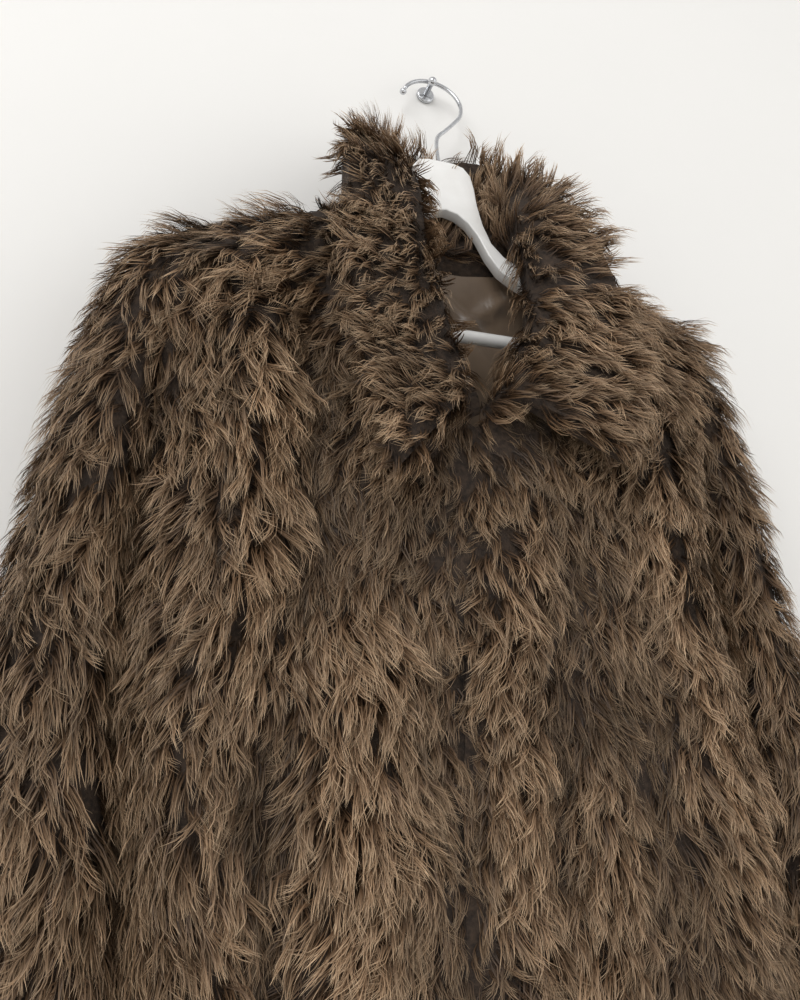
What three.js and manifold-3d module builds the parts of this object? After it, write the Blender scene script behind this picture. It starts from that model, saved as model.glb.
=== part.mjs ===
// A long-pile fur jacket on a white wooden hanger, hung on a small wall hook.
// Millimetres. +X is to the right of a person facing the jacket, +Y goes into the wall and
// +Z is up. The origin is the centre of the wall hook's back face, on the wall (y = 0).
import * as THREE from 'three';
import Module from 'manifold-3d';
import { mergeVertices } from 'three/addons/utils/BufferGeometryUtils.js';

// ---------------------------------------------------------------- driving dimensions
const SEAM = 0.3;              // clear gap where two sewn pieces meet
const TRIM = 1.5;              // clear gap where the thick collar is cut to the neckline
const PILE = 12;               // fur cloth of the body: backing and dense pile together
const COLLAR_TOP = 7;          // fur cloth of the upper collar
const COLLAR_UNDER = 6.2;      // fur cloth of the under collar
const LINING = 1.6;            // satin lining

const HOOK = {
  plateRadius: 8.5, plateThick: 3, prongRadius: 2.6, prongLength: 17.5, ballRadius: 4.2,
};
const WIRE = { radius: 1.9, bend: 28.5, tipAngle: 159, rightAngle: -40, ballRadius: 3.2 };
const HANG = {
  y: -14,                      // how far off the wall the wire hangs
  z: HOOK.prongRadius + SEAM + WIRE.radius,
  lean: 11,                    // degrees that the jacket's thickness pushes the hanger out
};
const HANGER = { thick: 11, top: -109, barRadius: 5.5, bar: -298, lobe: 158 };
// The right half of the hanger's outline, from its middle outward: top edge and under edge.
const HANGER_TOP = [
  { x: 0, z: -109 }, { x: 12, z: -109 }, { x: 21, z: -112 }, { x: 27, z: -121 },
  { x: 29, z: -136 }, { x: 30, z: -156 }, { x: 33, z: -177 }, { x: 39, z: -197 },
  { x: 49, z: -210 }, { x: 63, z: -219 }, { x: 80, z: -228 }, { x: 102, z: -238 },
  { x: 140, z: -253 }, { x: 172, z: -268 }, { x: 182, z: -276 }, { x: 186, z: -288 },
  { x: 184, z: -301 }, { x: 176, z: -310 },
];
const HANGER_UNDER = [
  { x: 0, z: -167 }, { x: 10, z: -170 }, { x: 19, z: -178 }, { x: 27, z: -191 },
  { x: 34, z: -210 }, { x: 43, z: -226 }, { x: 56, z: -236 }, { x: 74, z: -246 },
  { x: 98, z: -258 }, { x: 158, z: -288 }, { x: 158, z: -311 },
];

// The jacket has slipped a little to the wearer's right on its hanger.
const JACKET_X = -18;

// Landmarks of the jacket's outer surface. `right` and `left` are the wearer's.
const SHOULDER = {
  neck: { x: 78, y: -53, z: -178 },      // where the shoulder seam meets the neckline
  tip: { x: 208, y: -61, right: -235, left: -243 },
  roll: 62,                              // how fast the cloth rounds over the hanger
};
const ARMHOLE = { underX: 215, underZ: -428, halfDepth: 41 };
const NECK_FRONT = { y: -114, z: -384 };
const NECK_BACK = { y: -20, z: -193 };
const HEM = { frontZ: -808, backZ: -802 };
const NECK_SHIFT = 14;         // the collar pulls the front edges back to the middle at the neck

// The body's cross-section at each level: its outer faces, and how round its sides are.
const BODY = [
  { z: -178, right: 208, left: 208, front: -84, back: -18, round: 40 },
  { z: -300, right: 211, left: 211, front: -106, back: -11, round: 40 },
  { z: -428, right: 215, left: 215, front: -116, back: -10, round: 46 },
  { z: -560, right: 219, left: 232, front: -115, back: -10, round: 48 },
  { z: -700, right: 206, left: 246, front: -111, back: -10, round: 48 },
  { z: -810, right: 198, left: 256, front: -106, back: -10, round: 48 },
];

// Large soft folds of the fronts and the back: a ridge of cloth runs from (x0, z0) to
// (x1, z1), is `wide` across, and stands `rise` proud (a trough has a negative rise).
const FOLDS = [
  { face: 'front', x0: -170, z0: -270, x1: -208, z1: -440, wide: 15, rise: -11 },
  { face: 'front', x0: -152, z0: -280, x1: -136, z1: -500, wide: 22, rise: 12 },
  { face: 'front', x0: -146, z0: -440, x1: -190, z1: -700, wide: 24, rise: 12 },
  { face: 'front', x0: -188, z0: -620, x1: -160, z1: -830, wide: 24, rise: 11 },
  { face: 'front', x0: -104, z0: -240, x1: -108, z1: -540, wide: 26, rise: -12 },
  { face: 'front', x0: -122, z0: -560, x1: -126, z1: -830, wide: 15, rise: -12 },
  { face: 'front', x0: -70, z0: -480, x1: -66, z1: -830, wide: 36, rise: 9 },
  { face: 'front', x0: 34, z0: -390, x1: 30, z1: -830, wide: 22, rise: 10 },
  { face: 'front', x0: 90, z0: -420, x1: 66, z1: -780, wide: 20, rise: -11 },
  { face: 'front', x0: 148, z0: -300, x1: 206, z1: -760, wide: 24, rise: 12 },
  { face: 'front', x0: 126, z0: -520, x1: 144, z1: -830, wide: 30, rise: -8 },
  { face: 'back', x0: -118, z0: -300, x1: -150, z1: -830, wide: 26, rise: -7 },
  { face: 'back', x0: 8, z0: -260, x1: -14, z1: -830, wide: 30, rise: -6 },
  { face: 'back', x0: 128, z0: -320, x1: 142, z1: -830, wide: 24, rise: -7 },
];

// The sleeves from armhole to cuff: how far out the right and the left one reach, the
// heights of their outer and inner edges, the middle of their depth and half that depth.
const SLEEVE = [
  { s: 0.00, right: 208, left: 208, outZ: -239, inZ: -428, midY: -61, deep: 41 },
  { s: 0.10, right: 229, left: 223, outZ: -257, inZ: -434, midY: -62, deep: 45 },
  { s: 0.22, right: 246, left: 238, outZ: -298, inZ: -456, midY: -62, deep: 48 },
  { s: 0.36, right: 263, left: 252, outZ: -362, inZ: -498, midY: -62, deep: 50 },
  { s: 0.52, right: 279, left: 268, outZ: -446, inZ: -556, midY: -62, deep: 50 },
  { s: 0.68, right: 295, left: 290, outZ: -540, inZ: -624, midY: -61, deep: 49 },
  { s: 0.84, right: 318, left: 320, outZ: -652, inZ: -706, midY: -60, deep: 48 },
  { s: 1.00, right: 346, left: 354, outZ: -772, inZ: -792, midY: -58, deep: 47 },
];
const SLEEVE_CLEAR = 7;        // between a hanging sleeve and the side of the body

// The collar from the centre back (q = 0) to its front end (q = 1): the axis that it rolls
// over and its free edge. It stands up behind the neck and falls open in front.
const COLLAR_RIGHT = [
  { q: 0.00, foldX: -8, foldY: -8, foldZ: -140, edgeX: -8, edgeY: -8, edgeZ: -93 },
  { q: 0.14, foldX: -44, foldY: -13, foldZ: -138, edgeX: -48, edgeY: -22, edgeZ: -94 },
  { q: 0.27, foldX: -62, foldY: -50, foldZ: -142, edgeX: -80, edgeY: -62, edgeZ: -114 },
  { q: 0.38, foldX: -57, foldY: -86, foldZ: -164, edgeX: -101, edgeY: -96, edgeZ: -152 },
  { q: 0.50, foldX: -53, foldY: -104, foldZ: -204, edgeX: -109, edgeY: -114, edgeZ: -208 },
  { q: 0.62, foldX: -50, foldY: -113, foldZ: -250, edgeX: -107, edgeY: -128, edgeZ: -266 },
  { q: 0.75, foldX: -43, foldY: -120, foldZ: -300, edgeX: -101, edgeY: -136, edgeZ: -326 },
  { q: 0.88, foldX: -33, foldY: -124, foldZ: -340, edgeX: -90, edgeY: -142, edgeZ: -384 },
  { q: 1.00, foldX: -21, foldY: -127, foldZ: -370, edgeX: -76, edgeY: -146, edgeZ: -436 },
];
const COLLAR_LEFT = [
  { q: 0.00, foldX: -8, foldY: -8, foldZ: -140, edgeX: -8, edgeY: -8, edgeZ: -93 },
  { q: 0.14, foldX: 35, foldY: -12, foldZ: -137, edgeX: 38, edgeY: -20, edgeZ: -90 },
  { q: 0.27, foldX: 60, foldY: -38, foldZ: -140, edgeX: 68, edgeY: -42, edgeZ: -110 },
  { q: 0.38, foldX: 64, foldY: -68, foldZ: -164, edgeX: 92, edgeY: -66, edgeZ: -146 },
  { q: 0.50, foldX: 65, foldY: -90, foldZ: -206, edgeX: 107, edgeY: -94, edgeZ: -202 },
  { q: 0.62, foldX: 62, foldY: -106, foldZ: -250, edgeX: 113, edgeY: -116, edgeZ: -254 },
  { q: 0.75, foldX: 54, foldY: -116, foldZ: -296, edgeX: 113, edgeY: -130, edgeZ: -308 },
  { q: 0.88, foldX: 40, foldY: -122, foldZ: -336, edgeX: 107, edgeY: -139, edgeZ: -362 },
  { q: 1.00, foldX: 22, foldY: -127, foldZ: -368, edgeX: 97, edgeY: -144, edgeZ: -412 },
];
const SHOULDER_Q = 0.36;       // where the collar passes the shoulder seam
const COLLAR_CORE = 1.4;       // the hollow inside its roll

// How finely each cloth piece is faceted.
const STEPS = {
  frontAcross: 13, frontDown: 24, backAcross: 18, backDown: 20, sleeveRound: 20, sleeveDown: 14,
  collarLong: 18, collarWide: 9, liningAcross: 10, liningDown: 10,
};

const COLOURS = { fur: 0x7a6349, furDark: 0x66523c, lining: 0x84705a, paint: 0xf2f1ee, chrome: 0xd4d6d8 };

// ---------------------------------------------------------------- small maths
const vec = (x, y, z) => new THREE.Vector3(x, y, z);
const mix = (a, b, t) => a + (b - a) * t;
const clamp01 = (t) => Math.min(1, Math.max(0, t));
const smooth = (t) => clamp01(t) ** 2 * (3 - 2 * clamp01(t));
const rad = THREE.MathUtils.degToRad;

// Reads one column of a table at a place between its rows, along a smooth curve.
function read(table, key, at, column) {
  const last = table.length - 1;
  const rising = table[last][key] > table[0][key];
  let i = 0;
  while (i < last - 1 && (rising ? at > table[i + 1][key] : at < table[i + 1][key])) i += 1;
  const span = table[i + 1][key] - table[i][key];
  const t = clamp01((at - table[i][key]) / span);
  const slope = (k) => {
    const a = Math.max(0, k - 1);
    const b = Math.min(last, k + 1);
    return (table[b][column] - table[a][column]) / (table[b][key] - table[a][key]);
  };
  const t2 = t * t;
  const t3 = t2 * t;
  return (2 * t3 - 3 * t2 + 1) * table[i][column] + (t3 - 2 * t2 + t) * slope(i) * span
    + (3 * t2 - 2 * t3) * table[i + 1][column] + (t3 - t2) * slope(i + 1) * span;
}

// ---------------------------------------------------------------- closed walls
// A closed solid between two grids of points, `face` outside and `back` inside. Rows run
// along the piece. With `ring` the columns close on themselves, as round a sleeve.
function wall(face, back, ring) {
  const rows = face.length;
  const cols = face[0].length;
  const points = [...face.flat(), ...back.flat()];
  const at = (layer, r, c) => (layer * rows + r) * cols + (c % cols);
  const index = [];
  const quad = (a, b, c, d) => index.push(a, b, c, a, c, d);
  const spans = ring ? cols : cols - 1;
  for (let r = 0; r < rows - 1; r += 1) {
    for (let c = 0; c < spans; c += 1) {
      quad(at(0, r, c), at(0, r + 1, c), at(0, r + 1, c + 1), at(0, r, c + 1));
      quad(at(1, r, c), at(1, r, c + 1), at(1, r + 1, c + 1), at(1, r + 1, c));
    }
  }
  for (let c = 0; c < spans; c += 1) {
    quad(at(0, 0, c), at(0, 0, c + 1), at(1, 0, c + 1), at(1, 0, c));
    quad(at(0, rows - 1, c + 1), at(0, rows - 1, c), at(1, rows - 1, c), at(1, rows - 1, c + 1));
  }
  if (!ring) {
    for (let r = 0; r < rows - 1; r += 1) {
      quad(at(0, r + 1, 0), at(0, r, 0), at(1, r, 0), at(1, r + 1, 0));
      quad(at(0, r, cols - 1), at(0, r + 1, cols - 1), at(1, r + 1, cols - 1), at(1, r, cols - 1));
    }
  }
  const geometry = new THREE.BufferGeometry();
  geometry.setAttribute('position', new THREE.Float32BufferAttribute(points.flatMap((p) => p.toArray()), 3));
  geometry.setIndex(index);
  if (signedVolume(geometry) < 0) geometry.setIndex(index.reverse());
  geometry.computeVertexNormals();
  return geometry;
}

function signedVolume(geometry) {
  const p = geometry.getAttribute('position');
  const index = geometry.getIndex();
  const corner = (i) => vec().fromBufferAttribute(p, index.getX(i));
  let total = 0;
  for (let i = 0; i < index.count; i += 3) total += corner(i).dot(corner(i + 1).cross(corner(i + 2)));
  return total / 6;
}

// Unit normals of a grid of points, all on the side of `outward`.
function gridNormals(grid, outward) {
  const last = grid.length - 1;
  const end = grid[0].length - 1;
  return grid.map((row, r) => row.map((point, c) => {
    const down = vec().subVectors(grid[Math.min(last, r + 1)][c], grid[Math.max(0, r - 1)][c]);
    const across = vec().subVectors(row[Math.min(end, c + 1)], row[Math.max(0, c - 1)]);
    const normal = down.cross(across).normalize();
    return normal.dot(outward(point)) < 0 ? normal.negate() : normal;
  }));
}

// ---------------------------------------------------------------- body panels
const handOf = (side) => (side < 0 ? 'right' : 'left');
const tipZ = (side) => SHOULDER.tip[handOf(side)];

// How far out the body's side is at a height.
function sideX(side, z) {
  if (z < ARMHOLE.underZ) return read(BODY, 'z', z, handOf(side));
  const t = clamp01((z - tipZ(side)) / (ARMHOLE.underZ - tipZ(side)));
  return mix(SHOULDER.tip.x, ARMHOLE.underX, t);
}

// The height in the armhole, from 1 at its top to -1 at the underarm.
function armholeHeight(side, z) {
  const middle = (tipZ(side) + ARMHOLE.underZ) / 2;
  return (z - middle) / (tipZ(side) - middle);
}

// How far the armhole stands forward of (or behind) the shoulder seam at a height.
function armholeReach(side, z) {
  const up = armholeHeight(side, z);
  return Math.abs(up) >= 1 ? 0 : ARMHOLE.halfDepth * Math.sqrt(1 - up * up);
}

// The free edge of a front, or the middle of the back, across the jacket at a height.
const centreX = (face, z) => (face === 'back' ? 0
  : NECK_SHIFT * (1 - smooth((NECK_FRONT.z - z) / 90)));

// The top edge of half a panel: neckline up to NECK_PART, then the shoulder seam.
const NECK_PART = 0.4;
function topEdge(face, side, u) {
  if (u >= NECK_PART) {
    const t = (u - NECK_PART) / (1 - NECK_PART);
    const { neck, tip } = SHOULDER;
    return vec(side * mix(neck.x, tip.x, t), mix(neck.y, tip.y, t), mix(neck.z, tipZ(side), t));
  }
  const t = u / NECK_PART;
  if (face === 'back') {
    const x = SHOULDER.neck.x * Math.sin(t * Math.PI / 2);
    return vec(side * x, mix(NECK_BACK.y, SHOULDER.neck.y, t * t), mix(NECK_BACK.z, SHOULDER.neck.z, t ** 3));
  }
  const x = SHOULDER.neck.x * Math.sin(t * Math.PI / 2) + side * NECK_SHIFT * (1 - t) ** 2;
  const round = Math.sqrt(1 - t * t);
  const z = mix(NECK_FRONT.z, SHOULDER.neck.z, 1 - round * (1 - 0.35 * t));
  return vec(side * x, mix(NECK_FRONT.y, SHOULDER.neck.y, (1 - round) ** 2), z);
}

function foldRise(face, x, z) {
  let rise = 0;
  for (const f of FOLDS) {
    if (f.face === face) {
      const t = (z - f.z0) / (f.z1 - f.z0);
      const ends = smooth(t * 5) * smooth((1 - t) * 4 + (f.z1 < -800 ? 1 : 0));
      const off = (x - mix(f.x0, f.x1, t)) / f.wide;
      rise += f.rise * ends * Math.exp(-off * off);
    }
  }
  return rise;
}

// One point of a panel's outer face. u runs from the centre to the side, v from top to hem.
function panelPoint(face, side, u, v) {
  const top = topEdge(face, side, u);
  const hem = face === 'front' ? HEM.frontZ : HEM.backZ;
  const z = mix(top.z, hem, v ** 1.2);
  const toward = face === 'front' ? -1 : 1;
  const half = sideX(side, z);
  const flatY = read(BODY, 'z', z, face);
  const edgeY = SHOULDER.tip.y + toward * armholeReach(side, z);
  const corner = read(BODY, 'z', z, 'round');
  const flatPart = 0.7;
  const centre = centreX(face, z) * side;
  let x = mix(centre, half - corner, u / flatPart);
  let y = flatY;
  if (u > flatPart) {
    const turn = (u - flatPart) / (1 - flatPart) * Math.PI / 2;
    x = half - corner + corner * Math.sin(turn);
    y = mix(edgeY, flatY, Math.cos(turn));
  }
  const drop = top.z - z;
  const over = clamp01(drop / SHOULDER.roll);
  const atEdge = smooth((u - 0.86) / 0.14);
  const rounded = mix(Math.sqrt(1 - (1 - over) ** 2), 1, atEdge);
  const spread = mix(smooth(drop / 220), 1, smooth((u - 0.9) / 0.1));
  const px = side * mix(side * top.x, x, spread);
  const calm = smooth(drop / 90) * smooth((1 - u) / 0.22);
  const fold = foldRise(face, px, z) * calm;
  return vec(px, mix(top.y, y, rounded) + toward * fold, z);
}

// The direction in which a panel's wall is measured at a seam, so that both sides share it.
function seamDirection(face, side, u, v, point, normal) {
  if (u <= 0 && face === 'front') return vec(0, -1, 0);
  if (u >= 1 && point.z > ARMHOLE.underZ + 1) {
    const toward = face === 'front' ? -1 : 1;
    const up = Math.min(1, armholeHeight(side, point.z));
    const high = (tipZ(side) - ARMHOLE.underZ) / 2;
    return vec(0, toward * Math.sqrt(1 - up * up) / ARMHOLE.halfDepth, up / high).normalize();
  }
  if (u >= 1) return vec(side, 0, 0);
  if (v <= 0 && u >= NECK_PART) return vec(0, 0, 1);
  if (v <= 0) return normal.clone().setZ(0).normalize();
  return normal;
}

// Keeps a wall's inner points on their own side of the armhole.
function keepInside(side, point) {
  if (point.z > ARMHOLE.underZ - PILE) {
    point.x = side * Math.min(side * point.x, sideX(side, point.z) - SEAM / 2);
  }
  return point;
}

// Moves a seam point off the seam plane by half the gap.
function easeSeam(face, side, u, v, point) {
  const eased = point.clone();
  const toward = face === 'front' ? -1 : 1;
  if (u >= 1 && point.z > ARMHOLE.underZ - 1) eased.x -= side * SEAM / 2;
  if (u >= 1 || (v <= 0 && u >= NECK_PART)) eased.y += toward * SEAM / 2;
  if (u <= 0 && face === 'front') eased.x += side * SEAM / 2;
  return eased;
}

// The grid of a panel's outer face with its outward directions. `spread` is how far to the
// side it reaches, and `from` and `to` how far down it begins and ends.
function panelGrid(face, side, steps, spread, from, to) {
  const cells = [];
  for (let r = 0; r <= steps.down; r += 1) {
    cells.push([]);
    for (let c = 0; c <= steps.across; c += 1) {
      const half = Math.abs(c * 2 - steps.across) / steps.across;
      const u = spread * (face === 'front' ? c / steps.across : half);
      const hand = face === 'front' ? side : Math.sign(c * 2 - steps.across) || 1;
      const v = mix(from, to, r / steps.down);
      cells[r].push({ u, v, hand, point: panelPoint(face, hand, u, v) });
    }
  }
  const toward = vec(0, face === 'front' ? -1 : 1, 0.35);
  const normals = gridNormals(cells.map((row) => row.map((cell) => cell.point)), () => toward);
  cells.forEach((row, r) => row.forEach((cell, c) => Object.assign(cell, { normal: normals[r][c] })));
  return cells;
}

// A front or the back. `grow` makes it that much fatter, to cut its neighbours clear of it.
function bodyPanel(face, side, grow = 0) {
  const steps = face === 'front' ? { across: STEPS.frontAcross, down: STEPS.frontDown }
    : { across: STEPS.backAcross, down: STEPS.backDown };
  const cells = panelGrid(face, side, steps, 1, 0, 1);
  const place = (depth) => cells.map((row) => row.map(({ u, v, hand, point, normal }) => {
    const direction = seamDirection(face, hand, u, v, point, normal);
    const moved = easeSeam(face, hand, u, v, point).addScaledVector(direction, depth);
    if (v <= 0) moved.add(vec(-hand * grow, 0, grow));
    return depth < 0 ? keepInside(hand, moved) : moved;
  }));
  return wall(place(grow), place(-PILE - grow), false);
}

// ---------------------------------------------------------------- sleeves
function sleevePoint(side, s, angle, inset) {
  const inZ = read(SLEEVE, 's', s, 'inZ');
  const outZ = read(SLEEVE, 's', s, 'outZ') + (tipZ(side) - SLEEVE[0].outZ) * (1 - smooth(s * 5));
  const outer = vec(side * read(SLEEVE, 's', s, handOf(side)), 0, outZ);
  const inner = vec(side * (sideX(side, inZ) + SLEEVE_CLEAR * smooth(s * 8)), 0, inZ);
  const along = vec().subVectors(outer, inner);
  const half = along.length() / 2 - inset;
  const deep = read(SLEEVE, 's', s, 'deep') - inset;
  along.normalize();
  const fold = 4.5 * smooth(s * 3) * Math.sin(3 * angle + 5 * s + side) * Math.max(0, Math.cos(angle * 0.5));
  return vec().addVectors(outer, inner).multiplyScalar(0.5)
    .addScaledVector(along, (half + fold * 0.5) * Math.cos(angle))
    .setY(read(SLEEVE, 's', s, 'midY') - (deep + fold * 0.4) * Math.sin(angle));
}

function sleeve(side) {
  const rings = [0, PILE].map((inset) => {
    const grid = [];
    for (let r = 0; r <= STEPS.sleeveDown; r += 1) {
      const s = r / STEPS.sleeveDown;
      const ring = [];
      for (let c = 0; c < STEPS.sleeveRound; c += 1) {
        const point = sleevePoint(side, s, c / STEPS.sleeveRound * Math.PI * 2, inset);
        if (r === 0) point.x += side * SEAM / 2;
        ring.push(point);
      }
      grid.push(ring);
    }
    return grid;
  });
  return wall(rings[0], rings[1], true);
}

// ---------------------------------------------------------------- collar
const COLLAR_ROLL = COLLAR_CORE + COLLAR_UNDER + SEAM + COLLAR_TOP;

// The middle of the neckline's edge, which the collar is sewn to.
function neckSeam(side, q) {
  const onBack = q < SHOULDER_Q;
  const front = 1 - ((q - SHOULDER_Q) / (1 - SHOULDER_Q)) ** 1.55;
  const point = topEdge(onBack ? 'back' : 'front', side, NECK_PART * (onBack ? q / SHOULDER_Q : front));
  const lean = smooth((q - SHOULDER_Q + 0.12) / 0.24) * 2 - 1;
  point.x += JACKET_X + side * (Math.abs(lean) - 1) * PILE * 0.3;
  point.y += lean * PILE / 2;
  return point;
}

// Points across the folded collar at a distance from its fold axis: up the stand, over the
// roll and out to the free edge.
function collarSection(side, q, distance) {
  const table = side < 0 ? COLLAR_RIGHT : COLLAR_LEFT;
  const at = (name, t) => vec(...['X', 'Y', 'Z'].map((axis) => read(table, 'q', clamp01(t), name + axis)));
  const fold = at('fold', q);
  const along = vec().subVectors(at('fold', q + 0.03), at('fold', q - 0.03)).setX(0);
  along.x = at('fold', q + 0.03).x - at('fold', q - 0.03).x;
  along.normalize().multiplyScalar(-side);
  const stand = neckSeam(side, q).sub(fold);
  const fall = at('edge', q).sub(fold);
  const inward = vec().crossVectors(along, stand).normalize();
  stand.addScaledVector(inward, -COLLAR_ROLL / 2);
  const standLength = stand.length() * (1 - 0.35 * smooth((q - 0.8) / 0.2)) - 2;
  const fallLength = fall.length();
  stand.normalize();
  fall.normalize();
  inward.crossVectors(along, stand).normalize();
  const outward = vec().crossVectors(fall, along).normalize();
  const crest = vec().addVectors(inward, outward).sub(stand).sub(fall).normalize();
  const bend = inward.angleTo(crest) + crest.angleTo(outward);
  const arc = bend * COLLAR_ROLL * 0.7;
  const total = standLength + arc + fallLength;
  const points = [];
  for (let k = 0; k <= STEPS.collarWide; k += 1) {
    const walked = total * k / STEPS.collarWide;
    const turned = clamp01((walked - standLength) / Math.max(arc, 1e-6));
    const ray = turned < 0.5 ? inward.clone().lerp(crest, turned * 2) : crest.clone().lerp(outward, turned * 2 - 1);
    const point = fold.clone().addScaledVector(ray.normalize(), distance);
    point.addScaledVector(stand, Math.max(0, standLength - walked));
    points.push(point.addScaledVector(fall, Math.max(0, walked - standLength - arc)));
  }
  return points;
}

function collar(outerDistance, innerDistance) {
  const grids = [outerDistance, innerDistance].map((distance) => {
    const grid = [];
    for (let k = -STEPS.collarLong; k <= STEPS.collarLong; k += 1) {
      const q = Math.abs(k) / STEPS.collarLong;
      const middle = k === 0 ? collarSection(-1, 0, distance) : null;
      grid.push(middle ?? collarSection(Math.sign(k), q, distance));
    }
    return grid;
  });
  return wall(grids[0], grids[1], false);
}

// ---------------------------------------------------------------- lining
// The satin inside the back, from the neck seam to the hem fold.
function backLining() {
  const steps = { across: STEPS.liningAcross, down: STEPS.liningDown };
  const cells = panelGrid('back', 0, steps, 0.66, 0.05, 0.96);
  const place = (depth) => cells.map((row) => row.map(({ point, normal }) => (
    point.clone().addScaledVector(normal, -depth))));
  const start = PILE + 4;
  return wall(place(start + LINING), place(start), false);
}

// ---------------------------------------------------------------- cutting
const wasm = await Module();
wasm.setup();

function toSolid(geometry) {
  const merged = mergeVertices(geometry.clone().deleteAttribute('normal'), 1e-4);
  const vertProperties = Float32Array.from(merged.getAttribute('position').array);
  const triVerts = Uint32Array.from(merged.getIndex().array);
  return new wasm.Manifold(new wasm.Mesh({ numProp: 3, vertProperties, triVerts }));
}

// Trims a collar to the neckline of the panels that it is sewn to.
function trimToBody(geometry) {
  let solid = toSolid(geometry);
  for (const [face, side] of [['back', 0], ['front', -1], ['front', 1]]) {
    for (const [grow, lift] of [[TRIM, 0], [SEAM, 0], [0, TRIM], [0, 0]]) {
      const panel = toSolid(bodyPanel(face, side, grow)).translate([JACKET_X, 0, lift]);
      solid = solid.subtract(panel);
    }
  }
  const largest = solid.decompose().sort((a, b) => b.volume() - a.volume())[0];
  const mesh = largest.getMesh();
  const trimmed = new THREE.BufferGeometry();
  trimmed.setAttribute('position', new THREE.Float32BufferAttribute(mesh.vertProperties, 3));
  trimmed.setIndex(Array.from(mesh.triVerts));
  return trimmed;
}

// ---------------------------------------------------------------- hanger and hooks
function hangerBody() {
  const outline = [...HANGER_TOP, ...[...HANGER_UNDER].reverse()];
  const right = outline.map(({ x, z }) => new THREE.Vector2(x, z));
  const left = right.slice(1, -1).reverse().map((p) => new THREE.Vector2(-p.x, p.y));
  const { thick } = HANGER;
  const bevel = 1.2;
  const geometry = new THREE.ExtrudeGeometry(new THREE.Shape([...right, ...left]), {
    depth: thick - 2 * bevel, bevelThickness: bevel, bevelSize: bevel, bevelOffset: -bevel, bevelSegments: 2,
  });
  geometry.translate(0, 0, bevel - thick / 2);
  geometry.rotateX(Math.PI / 2);
  return geometry;
}

function trouserBar() {
  const length = (HANGER.lobe - SEAM) * 2;
  const geometry = new THREE.CylinderGeometry(HANGER.barRadius, HANGER.barRadius, length, 20);
  geometry.rotateZ(Math.PI / 2);
  geometry.translate(0, 0, HANGER.bar);
  return geometry;
}

function wireHook() {
  const { radius, bend, tipAngle, rightAngle } = WIRE;
  const round = [];
  const steps = 14;
  for (let k = 0; k <= steps; k += 1) {
    const angle = rad(mix(tipAngle, rightAngle, k / steps));
    round.push(vec(bend * Math.cos(angle), 0, bend * Math.sin(angle) - bend));
  }
  const stem = [vec(9, 0, -64), vec(2.4, 0, -72), vec(0, 0, -82), vec(0, 0, HANGER.top + SEAM)];
  const path = new THREE.CatmullRomCurve3([...round, ...stem], false, 'centripetal');
  const section = new THREE.Shape().absarc(0, 0, radius, 0, Math.PI * 2);
  return new THREE.ExtrudeGeometry(section, { steps: 44, extrudePath: path, curveSegments: 4 });
}

function hookBall() {
  const angle = rad(WIRE.tipAngle);
  const reach = WIRE.ballRadius + SEAM;
  const geometry = new THREE.SphereGeometry(WIRE.ballRadius, 16, 10);
  geometry.translate(WIRE.bend * Math.cos(angle) - reach * Math.sin(angle), 0,
    WIRE.bend * Math.sin(angle) - WIRE.bend + reach * Math.cos(angle));
  return geometry;
}

function lathedAlongY(profile, segments) {
  const geometry = new THREE.LatheGeometry(profile.map(([r, y]) => new THREE.Vector2(r, y)), segments);
  return geometry;
}

function wallPlate() {
  const { plateRadius: r, plateThick: t } = HOOK;
  return lathedAlongY([[0, -t], [r - 1.4, -t], [r - 0.4, -t + 0.5], [r, -t + 1.3], [r, 0], [0, 0]], 40);
}

function wallProng() {
  const { prongRadius: r, prongLength: length, ballRadius: ball, plateThick } = HOOK;
  const start = -plateThick - SEAM;
  const centre = start - length;
  const profile = [[0, centre - ball]];
  const meet = Math.asin(r / ball);
  const steps = 7;
  for (let k = 1; k <= steps; k += 1) {
    const angle = mix(0, Math.PI - meet, k / steps);
    profile.push([ball * Math.sin(angle), centre - ball * Math.cos(angle)]);
  }
  profile.push([r, start], [0, start]);
  return lathedAlongY(profile, 24);
}

// ---------------------------------------------------------------- scene graph
function piece(name, geometry, colour, roughness, metalness) {
  const mesh = new THREE.Mesh(mergeVertices(geometry.deleteAttribute('normal').deleteAttribute('uv'), 1e-4),
    new THREE.MeshStandardMaterial({ color: colour, roughness, metalness }));
  mesh.name = name;
  return mesh;
}

function furJacket() {
  const body = new THREE.Group();
  body.position.x = JACKET_X;
  body.add(piece('back', bodyPanel('back', 0), COLOURS.fur, 0.9, 0));
  body.add(piece('front_right', bodyPanel('front', -1), COLOURS.fur, 0.9, 0));
  body.add(piece('front_left', bodyPanel('front', 1), COLOURS.fur, 0.9, 0));
  body.add(piece('sleeve_right', sleeve(-1), COLOURS.furDark, 0.9, 0));
  body.add(piece('sleeve_left', sleeve(1), COLOURS.furDark, 0.9, 0));
  body.add(piece('lining_back', backLining(), COLOURS.lining, 0.45, 0));
  const jacket = new THREE.Group();
  const underFace = COLLAR_CORE + COLLAR_UNDER;
  jacket.add(body);
  jacket.add(piece('upper_collar', trimToBody(collar(COLLAR_ROLL, underFace + SEAM)), COLOURS.fur, 0.9, 0));
  jacket.add(piece('under_collar', trimToBody(collar(underFace, COLLAR_CORE)), COLOURS.furDark, 0.9, 0));
  return jacket;
}

function hangerOnHook() {
  const hanger = new THREE.Group();
  hanger.position.set(0, HANG.y, HANG.z);
  hanger.rotation.x = -rad(HANG.lean);
  hanger.add(piece('hanger_body', hangerBody(), COLOURS.paint, 0.3, 0));
  hanger.add(piece('trouser_bar', trouserBar(), COLOURS.paint, 0.3, 0));
  hanger.add(piece('hanger_hook', wireHook(), COLOURS.chrome, 0.15, 1));
  hanger.add(piece('hook_ball', hookBall(), COLOURS.chrome, 0.15, 1));
  return hanger;
}

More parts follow.
